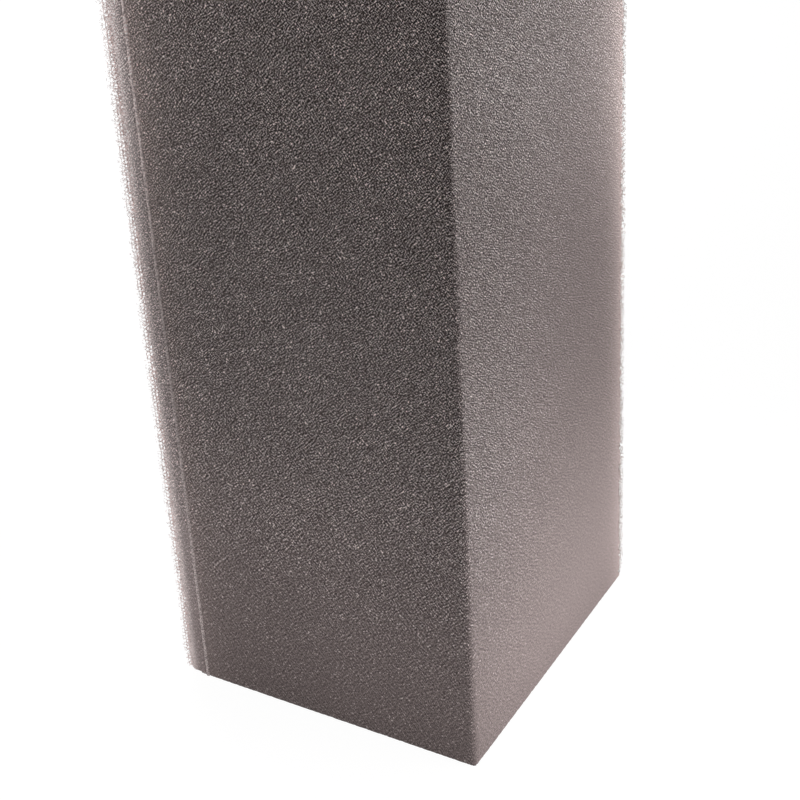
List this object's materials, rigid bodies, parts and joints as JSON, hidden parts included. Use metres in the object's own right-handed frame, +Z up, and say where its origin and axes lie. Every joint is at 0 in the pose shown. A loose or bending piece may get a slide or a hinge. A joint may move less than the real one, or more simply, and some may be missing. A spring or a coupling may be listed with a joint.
{
  "type": "corner bass trap",
  "caption": "Tall right-angled triangular prism of open-cell acoustic foam that stands in a room corner and absorbs low-frequency sound, with a bonded edge strip.",
  "frame": {"origin": "on the floor, under the middle of the square that the two wall legs span", "axes": "+Z up along the trap; wall face A looks along -Y and wall face B along +X, so the right-angle edge stands at +X and -Y"},
  "size_m": [0.3, 0.3, 1],
  "materials": {
    "core_foam": "matte",
    "strip_foam": "matte",
    "dried_glue": "satin"
  },
  "bodies": {
    "root": {"foam_core": "core_foam", "edge_strip": "strip_foam", "glue_line": "dried_glue"}
  },
  "joints": []
}
